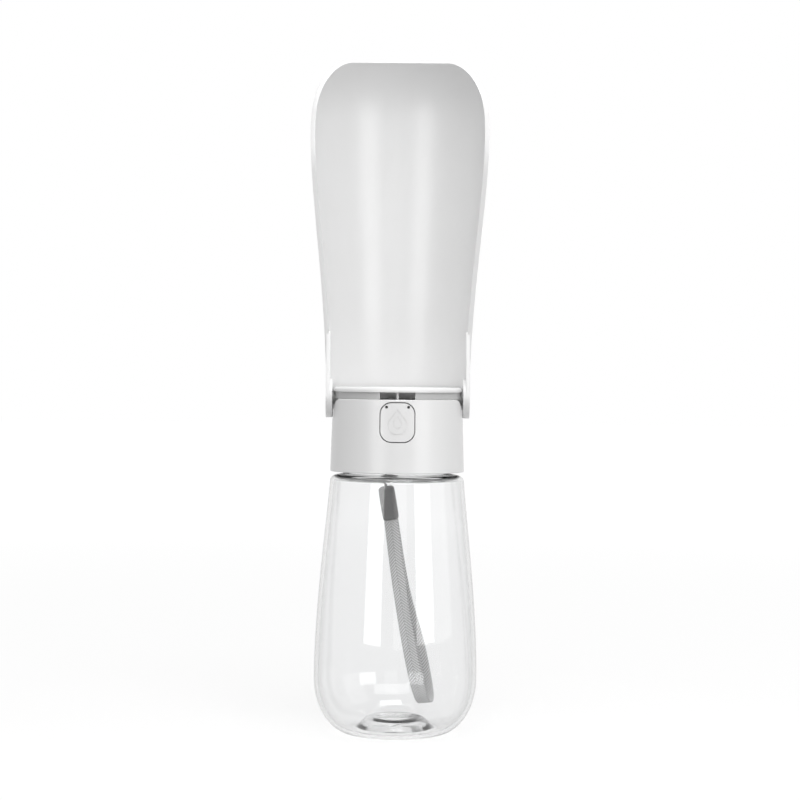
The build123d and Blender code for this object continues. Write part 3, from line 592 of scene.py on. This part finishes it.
def make_clamp():
    """Moulded clamp: a block with rounded corners, pinched a little near both ends."""
    near, pinch, far = 0.30, 0.38, 0.44
    clamp = fresh("wrist_clamp", bpy.ops.mesh.primitive_cube_add, size=1)
    clamp.scale = (CLAMP_W * MM, CLAMP_T * MM, CLAMP_H * MM)
    settle(clamp)
    edit(clamp)
    bpy.ops.mesh.select_all(action="DESELECT")
    done()
    for edge in clamp.data.edges:
        a, b = (clamp.data.vertices[v].co for v in edge.vertices)
        edge.select = abs(a.z - b.z) > CLAMP_H * MM / 2
    edit(clamp)
    bpy.ops.mesh.bevel(offset=CLAMP_ROUND * MM, segments=8, affect="EDGES")
    for height in (-far, -pinch, -near, near, pinch, far):
        bpy.ops.mesh.select_all(action="SELECT")
        bpy.ops.mesh.bisect(plane_co=(0, 0, height * CLAMP_H * MM), plane_no=(0, 0, 1))
    done()
    for vertex in clamp.data.vertices:
        share = vertex.co.z / (CLAMP_H * MM)
        if abs(abs(share) - pinch) < 0.01:
            vertex.co.x *= 0.965
            vertex.co.y *= 0.94
    round_edges(clamp, 0.45, segments=3, angle=60)
    place = Matrix((
        (STRAP_ACROSS.x, STRAP_APART.x, HANG_UP.x, 0),
        (STRAP_ACROSS.y, STRAP_APART.y, HANG_UP.y, 0),
        (STRAP_ACROSS.z, STRAP_APART.z, HANG_UP.z, 0),
        (0, 0, 0, 1),
    ))
    middle = (CLAMP_TOP + CLAMP_BASE) / 2 * MM
    clamp.data.transform(Matrix.Translation(middle) @ place)
    smooth(clamp, 40)
    return clamp


def make_strap():
    """Flat woven band that follows the smooth line of its route."""
    route = [
        CLAMP_BASE + STRAP_ACROSS * sideways + STRAP_APART * out + HANG_UP * up
        for sideways, out, up in STRAP_ROUTE
    ]
    guide = cord_line("strap_guide", route)
    line = line_points(guide)
    bpy.data.objects.remove(guide)
    edge = STRAP_T * 0.34
    half_w, half_t = STRAP_W / 2, STRAP_T / 2
    section = []
    flat_steps = 6
    for step in range(flat_steps + 1):
        section.append(((-1 + 2 * step / flat_steps) * (half_w - edge), half_t))
    section.append((half_w - edge * 0.25, half_t * 0.6))
    section.append((half_w, 0))
    section.append((half_w - edge * 0.25, -half_t * 0.6))
    for step in range(flat_steps + 1):
        section.append(((1 - 2 * step / flat_steps) * (half_w - edge), -half_t))
    section.append((-half_w + edge * 0.25, -half_t * 0.6))
    section.append((-half_w, 0))
    section.append((-half_w + edge * 0.25, half_t * 0.6))
    around = len(section)
    sheet = {"x_subdivisions": around, "y_subdivisions": len(line) - 1}
    strap = fresh("wrist_strap", bpy.ops.mesh.primitive_grid_add, size=2, **sheet)
    along = [0.0]
    for before, here in zip(line, line[1:]):
        along.append(along[-1] + (here - before).length)
    for index, vertex in enumerate(strap.data.vertices):
        row, column = divmod(index, around + 1)
        before, after = line[max(row - 1, 0)], line[min(row + 1, len(line) - 1)]
        ahead = (after - before).normalized()
        outward = ahead.cross(STRAP_ACROSS).normalized()
        wide, thick = section[column % around]
        vertex.co = line[row] + STRAP_ACROSS * wide * MM + outward * thick * MM
    uv = strap.data.uv_layers.active or strap.data.uv_layers.new(name="weave")
    for loop in strap.data.loops:
        row, column = divmod(loop.vertex_index, around + 1)
        wide, _ = section[column % around]
        uv.data[loop.index].uv = (along[row] / MM, wide)
    cap_ends(strap)
    face_outwards(strap)
    smooth(strap, 60)
    return strap, line


# ---- Shader maths ----
class Field:
    """A shader value that can be added, multiplied and raised with Python's operators."""

    def __init__(self, paint, socket):
        self.paint = paint
        self.socket = socket

    def maths(self, operation, other, swap=False):
        values = (other, self) if swap else (self, other)
        return self.paint.node("ShaderNodeMath", {"operation": operation}, values)

    def __add__(self, other):
        return self.maths("ADD", other)

    def __radd__(self, other):
        return self.maths("ADD", other)

    def __sub__(self, other):
        return self.maths("SUBTRACT", other)

    def __rsub__(self, other):
        return self.maths("SUBTRACT", other, swap=True)

    def __mul__(self, other):
        return self.maths("MULTIPLY", other)

    def __rmul__(self, other):
        return self.maths("MULTIPLY", other)

    def __truediv__(self, other):
        return self.maths("DIVIDE", other)

    def __pow__(self, other):
        return self.maths("POWER", other)

    def __mod__(self, other):
        return self.maths("FLOORED_MODULO", other)


class Paint:
    """A material, or the world, under construction."""

    def __init__(self, name, kind="materials"):
        self.block = getattr(bpy.data, kind).new(name)
        self.block.use_nodes = True
        self.tree = self.block.node_tree
        self.tree.nodes.clear()

    def node(self, kind, settings=None, values=(), output=0):
        """Add a node: settings first, then the values or links of its inputs by order or name."""
        node = self.tree.nodes.new(kind)
        for key, value in (settings or {}).items():
            setattr(node, key, value)
        pairs = values.items() if isinstance(values, dict) else enumerate(values)
        for key, value in pairs:
            if isinstance(value, Field):
                self.tree.links.new(value.socket, node.inputs[key])
            elif value is not None:
                node.inputs[key].default_value = value
        return Field(self, node.outputs[output])

    def place(self):
        """Object coordinates, which don't slide."""
        return self.node("ShaderNodeTexCoord", output=3)

    def scaled(self, vector, scale):
        return self.node("ShaderNodeMapping", {}, {"Vector": vector, "Scale": scale})

    def noise(self, scale, detail=3.0, roughness=0.55, vector=None):
        values = {"Scale": scale, "Detail": detail, "Roughness": roughness, "Vector": vector or self.place()}
        return self.node("ShaderNodeTexNoise", {}, values)

    def mixed(self, factor, low, high):
        """A colour between two colours."""
        values = {0: factor, 6: low, 7: high}
        return self.node("ShaderNodeMix", {"data_type": "RGBA"}, values, output=2)

    def bump(self, height, distance, strength=1.0):
        values = {"Height": height, "Distance": distance * MM, "Strength": strength}
        return self.node("ShaderNodeBump", {}, values)

    def surface(self, values):
        return self.node("ShaderNodeBsdfPrincipled", {}, values)

    def seen_directly(self):
        """1 where the camera looks at the surface, or sees it in a gloss or through a clear wall, else 0."""
        camera, glossy, through = (self.node("ShaderNodeLightPath", output=place) for place in (0, 3, 6))
        return camera.maths("MAXIMUM", glossy).maths("MAXIMUM", through)

    def end(self, shader, output="ShaderNodeOutputMaterial", inside=None):
        finish = self.tree.nodes.new(output)
        self.tree.links.new(shader.socket, finish.inputs["Surface"])
        if inside:
            self.tree.links.new(inside.socket, finish.inputs["Volume"])
        return self.block


def grey(level, warm=0.0):
    """A nearly neutral colour, a little warmer where warm is above 0."""
    return (level * (1 + warm), level, level * (1 - warm), 1.0)


def white_moulding():
    """Smooth white plastic with a fine satin grain and the faint unevenness of a moulded wall."""
    paint = Paint("white_moulding")
    cloudy = paint.noise(28.0, 2.0)
    grain = paint.noise(5200.0, 2.0)
    colour = paint.mixed(cloudy, grey(0.80, 0.003), grey(0.84, -0.002))
    roughness = 0.26 + 0.10 * paint.noise(160.0, 3.0)
    return paint.end(paint.surface({
        "Base Color": colour,
        "Roughness": roughness,
        "IOR": 1.54,
        "Normal": paint.bump(grain, 0.012, 0.5),
    }))


PAINTED_LIGHT_INSIDE_R = 29.0
LIGHT_SPREAD = {"Subsurface Weight": 0.6, "Subsurface Radius": (1.0, 1.0, 1.0), "Subsurface Scale": 0.004}


def grey_moulding():
    """Grey plastic of the outlet ring. Its inside, behind the outlets, is painted paler: painted light that lifts
    the shade seen through the outlets.
    """
    paint = Paint("grey_moulding")
    cloudy = paint.noise(60.0, 2.0)
    flat = paint.node("ShaderNodeVectorMath", {"operation": "MULTIPLY"}, (paint.place(), (1, 1, 0)))
    radius = paint.node("ShaderNodeVectorMath", {"operation": "LENGTH"}, (flat,), output=1)
    # Painted light: inside this radius the ring is painted pale grey, so the shaded outlets read lighter.
    inside = paint.node("ShaderNodeMath", {"operation": "LESS_THAN"}, (radius, PAINTED_LIGHT_INSIDE_R * MM))
    colour = paint.mixed(inside, paint.mixed(cloudy, grey(0.52), grey(0.58)), grey(0.86))
    return paint.end(paint.surface({
        "Base Color": colour,
        "Roughness": 0.36 + 0.1 * paint.noise(300.0),
        **LIGHT_SPREAD,
        "Normal": paint.bump(paint.noise(4200.0, 2.0), 0.012, 0.5),
    }))


def inner_moulding():
    """Natural plastic of the parts inside the head."""
    paint = Paint("inner_moulding")
    colour = paint.mixed(paint.noise(90.0, 2.0), grey(0.82), grey(0.86))
    return paint.end(paint.surface({
        "Base Color": colour,
        "Roughness": 0.45 + 0.1 * paint.noise(500.0),
        **LIGHT_SPREAD,
        "Normal": paint.bump(paint.noise(2600.0, 2.0), 0.015, 0.5),
    }))


CLEAR_DENSITY = 26.0  # per metre


def clear_plastic():
    """Clear bottle wall. Its edges are painted near black where seen edge-on, painted shade standing in for the
    dark that refraction shows at a thick clear wall, and lamps shine through it.
    """
    paint = Paint("clear_plastic")
    # Painted shade: towards a grazing view the colour runs to near black, drawing the dark outline that refraction
    # would give.
    edge = paint.node("ShaderNodeLayerWeight", {}, {"Blend": 0.5}, output=1) ** 5.0
    colour = paint.mixed(edge, grey(0.955, -0.002), grey(0.06))
    wall = paint.surface({
        "Base Color": colour,
        "Roughness": 0.012 + 0.02 * paint.noise(40.0),
        "IOR": 1.46,
        "Transmission Weight": 1.0,
        "Normal": paint.bump(paint.noise(30.0, 1.0), 0.05, 0.10),
    })
    clear = paint.node("ShaderNodeBsdfTransparent", {}, {"Color": grey(0.95)})
    shadow = paint.node("ShaderNodeLightPath", output=1)
    depth = paint.node("ShaderNodeVolumeAbsorption", {}, {"Color": grey(0.5), "Density": CLEAR_DENSITY})
    return paint.end(paint.node("ShaderNodeMixShader", {}, (shadow, wall, clear)), inside=depth)


def dark_moulding():
    paint = Paint("dark_moulding")
    colour = paint.mixed(paint.noise(300.0, 2.0), grey(0.016), grey(0.030))
    return paint.end(paint.surface({
        "Base Color": colour,
        "Roughness": 0.42 + 0.14 * paint.noise(700.0),
        "Normal": paint.bump(paint.noise(3600.0, 2.0), 0.03, 0.6),
    }))


def black_gloss():
    paint = Paint("black_gloss")
    return paint.end(paint.surface({
        "Base Color": paint.mixed(paint.noise(800.0), grey(0.008), grey(0.014)),
        "Roughness": 0.18 + 0.1 * paint.noise(900.0),
    }))


def soft_silicone():
    paint = Paint("soft_silicone")
    return paint.end(paint.surface({
        "Base Color": paint.mixed(paint.noise(120.0), grey(0.60), grey(0.68)),
        "Roughness": 0.52 + 0.12 * paint.noise(900.0),
        "Normal": paint.bump(paint.noise(3000.0), 0.01, 0.4),
    }))


def black_rubber():
    paint = Paint("black_rubber")
    return paint.end(paint.surface({
        "Base Color": paint.mixed(paint.noise(400.0), grey(0.018), grey(0.028)),
        "Roughness": 0.6 + 0.15 * paint.noise(1200.0),
        "Normal": paint.bump(paint.noise(3400.0), 0.01, 0.4),
    }))


def brushed_steel():
    """Stainless steel with fine lines turned round the bottle's side axis."""
    paint = Paint("brushed_steel")
    lines = paint.noise(900.0, 4.0, vector=paint.scaled(paint.place(), (6.0, 1.0, 1.0)))
    return paint.end(paint.surface({
        "Base Color": paint.mixed(lines, grey(0.50), grey(0.62)),
        "Metallic": 1.0,
        "Roughness": 0.24 + 0.16 * lines,
        "Normal": paint.bump(lines, 0.01, 0.3),
    }))


def herringbone_webbing():
    """Grey woven band: rows of slanting yarns that turn back at each rib, on the piece's own UV map in mm."""
    paint = Paint("herringbone_webbing")
    spot = paint.node("ShaderNodeUVMap")
    split = paint.tree.nodes.new("ShaderNodeSeparateXYZ")
    paint.tree.links.new(spot.socket, split.inputs[0])
    along, across = Field(paint, split.outputs[0]), Field(paint, split.outputs[1])
    rib, pitch, half = 3.6, 1.5, STRAP_W / 2
    zigzag = paint.node("ShaderNodeMath", {"operation": "PINGPONG"}, (across + half, rib))
    yarn = ((along + zigzag * 0.9) / pitch) % 1.0
    crest = 1.0 - paint.node("ShaderNodeMath", {"operation": "ABSOLUTE"}, (yarn * 2.0 - 1.0,)) ** 2.0
    warp = ((across + half) / rib) % 1.0
    seam = paint.node("ShaderNodeMath", {"operation": "ABSOLUTE"}, (warp * 2.0 - 1.0,)) ** 12.0
    fuzz = paint.noise(2600.0, 3.0)
    height = crest - seam * 0.4 + fuzz * 0.35
    # Painted shade: the colour follows the weave's height, dark in the grooves between yarns and along the rib
    # seams; the fuzz adds random tone.
    shade = paint.node("ShaderNodeMath", {"operation": "MULTIPLY", "use_clamp": True}, (height, 0.85))
    colour = paint.mixed(shade, grey(0.09), grey(0.85))
    return paint.end(paint.surface({
        "Base Color": colour,
        "Roughness": 0.78 + 0.12 * fuzz,
        "Sheen Weight": 0.25,
        "Normal": paint.bump(height, 0.16, 0.9),
    }))


def braided_cord():
    paint = Paint("braided_cord")
    place = paint.place()
    strands = paint.node("ShaderNodeTexWave", {"wave_type": "BANDS", "bands_direction": "DIAGONAL"}, {
        "Vector": place,
        "Scale": 700.0,
        "Distortion": 1.0,
    }, output=1)
    return paint.end(paint.surface({
        # Painted shade: the colour follows the same bands as the bump, darker in the low bands between strands.
        "Base Color": paint.mixed(strands, grey(0.10), grey(0.24)),
        "Roughness": 0.75 + 0.1 * paint.noise(2500.0),
        "Normal": paint.bump(strands, 0.12, 0.8),
    }))


# ---- Camera ----
SENSOR = 36.0
FOCAL = 101.45
CAMERA_DISTANCE = 1052.0
CAMERA_HEIGHT = 169.7
CAMERA_SIDE = 1.08
CAMERA_PITCH = math.radians(0.77)
CAMERA_ROLL = math.radians(0.54)


def make_camera():
    data = bpy.data.cameras.new("camera")
    data.sensor_width = SENSOR
    data.lens = FOCAL
    data.clip_start, data.clip_end = 0.01, 50
    camera = bpy.data.objects.new("camera", data)
    bpy.context.scene.collection.objects.link(camera)
    camera.location = Vector((CAMERA_SIDE, -CAMERA_DISTANCE, CAMERA_HEIGHT)) * MM
    turn = Matrix.Rotation(math.pi / 2 - CAMERA_PITCH, 3, "X") @ Matrix.Rotation(CAMERA_ROLL, 3, "Z")
    camera.rotation_euler = turn.to_euler()
    bpy.context.scene.camera = camera


# ---- Floor, backdrop and lamps ----
FLOOR_GREY = 0.25
FLOOR_BOUNCE = 0.60
FLOOR_GLOW = 0.75
FLOOR_GLOW_FAR = 0.895
SHADOW_REACH = 0.25
FAR_FLOOR = 1.6
BACKDROP_LIGHT = 0.45
LAMP_AIM = Vector((0, 0, 0.16))


def make_floor():
    """White floor that keeps the object's shadow. Further away it glows more, up to the backdrop's white."""
    floor = fresh("floor", bpy.ops.mesh.primitive_plane_add, size=12)
    paint = Paint("pale_floor")
    seen = paint.seen_directly()
    away = paint.node("ShaderNodeVectorMath", {"operation": "LENGTH"}, (paint.place(),), output=1)
    away = paint.node("ShaderNodeMapRange", {}, {
        "Value": away,
        "From Min": SHADOW_REACH,
        "From Max": FAR_FLOOR,
        "To Min": FLOOR_GLOW,
        "To Max": FLOOR_GLOW_FAR,
    })
    colour = paint.mixed(seen, grey(FLOOR_BOUNCE), grey(FLOOR_GREY))
    matt = paint.node("ShaderNodeBsdfDiffuse", {}, {"Color": colour})
    glow = paint.node("ShaderNodeEmission", {}, {"Color": grey(1.0), "Strength": away * seen})
    floor.data.materials.append(paint.end(paint.node("ShaderNodeAddShader", {}, (matt, glow))))


def make_world():
    """White where it is seen directly, in a gloss or through the clear wall, and softer as a lamp."""
    paint = Paint("studio", "worlds")
    lamp = paint.node("ShaderNodeBackground", {}, {"Color": grey(1.0), "Strength": BACKDROP_LIGHT})
    backdrop = paint.node("ShaderNodeBackground", {}, {"Color": grey(1.0), "Strength": 1.0})
    mix = paint.node("ShaderNodeMixShader", {}, (paint.seen_directly(), lamp, backdrop))
    bpy.context.scene.world = paint.end(mix, "ShaderNodeOutputWorld")


def softbox(name, place, width, height, power, shine_only=False):
    """A soft rectangular lamp aimed at the bottle. With shine_only it shows in glosses alone."""
    data = bpy.data.lights.new(name, "AREA")
    data.shape = "RECTANGLE"
    data.size, data.size_y = width, height
    data.energy = power
    lamp = bpy.data.objects.new(name, data)
    bpy.context.scene.collection.objects.link(lamp)
    lamp.location = place
    lamp.rotation_euler = (LAMP_AIM - lamp.location).to_track_quat("-Z", "Y").to_euler()
    lamp.visible_diffuse = not shine_only


def make_lamps():
    softbox("left_strip", (-0.62, -0.95, 0.20), 0.50, 0.38, 2.0, shine_only=True)
    softbox("right_strip", (0.80, -0.85, 0.20), 0.55, 0.38, 2.2, shine_only=True)
    softbox("high_panel", (0.12, -1.15, 0.66), 1.30, 0.45, 3.6, shine_only=True)
    softbox("side_softbox", (1.05, -0.35, 0.40), 0.70, 1.3, 2.2)
    softbox("front_softbox", (0.13, -1.15, 0.36), 0.42, 0.9, 0.8)
    softbox("key_softbox", (0.10, -0.55, 1.25), 0.70, 0.7, 9.0)
    softbox("top_softbox", (0, -0.25, 1.4), 1.20, 1.0, 3.0)


# ---- Assembly ----
def dress(piece, body, nodes, material):
    """Put a finished piece on its body, in place of its CAD nodes, with its material."""
    piece.data.materials.clear()
    piece.data.materials.append(material)
    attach(piece, body)
    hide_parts(*nodes)


def main():
    bpy.context.scene.view_settings.view_transform = "Standard"
    make_camera()
    string, string_points = make_string()
    strap, strap_line = make_strap()
    clamp = make_clamp()
    finishes = {
        "white_plastic": white_moulding(),
        "grey_plastic": grey_moulding(),
        "silicone": soft_silicone(),
        "black_rubber": black_rubber(),
        "steel": brushed_steel(),
        "inner_plastic": inner_moulding(),
        "black_plastic": black_gloss(),
    }

    dress(string, "lanyard", ["lanyard_string"], braided_cord())
    dress(strap, "lanyard", ["lanyard_strap"], herringbone_webbing())
    dress(clamp, "lanyard", ["lanyard_clamp"], dark_moulding())
    tuple(string_points[0] * MM)

    dress(make_bottle(), "bottle", ["bottle"], clear_plastic())
    dress(make_trough(), "trough", ["trough"], finishes["white_plastic"])
    slots = {part["node"]: part["material_slot"] for part in frame["record"]["subparts"]}
    for name, node in NODES.items():
        if not node.hide_render and slots[name] in finishes:
            node.data.materials.clear()
            node.data.materials.append(finishes[slots[name]])
    make_floor()
    make_world()
    make_lamps()


main()
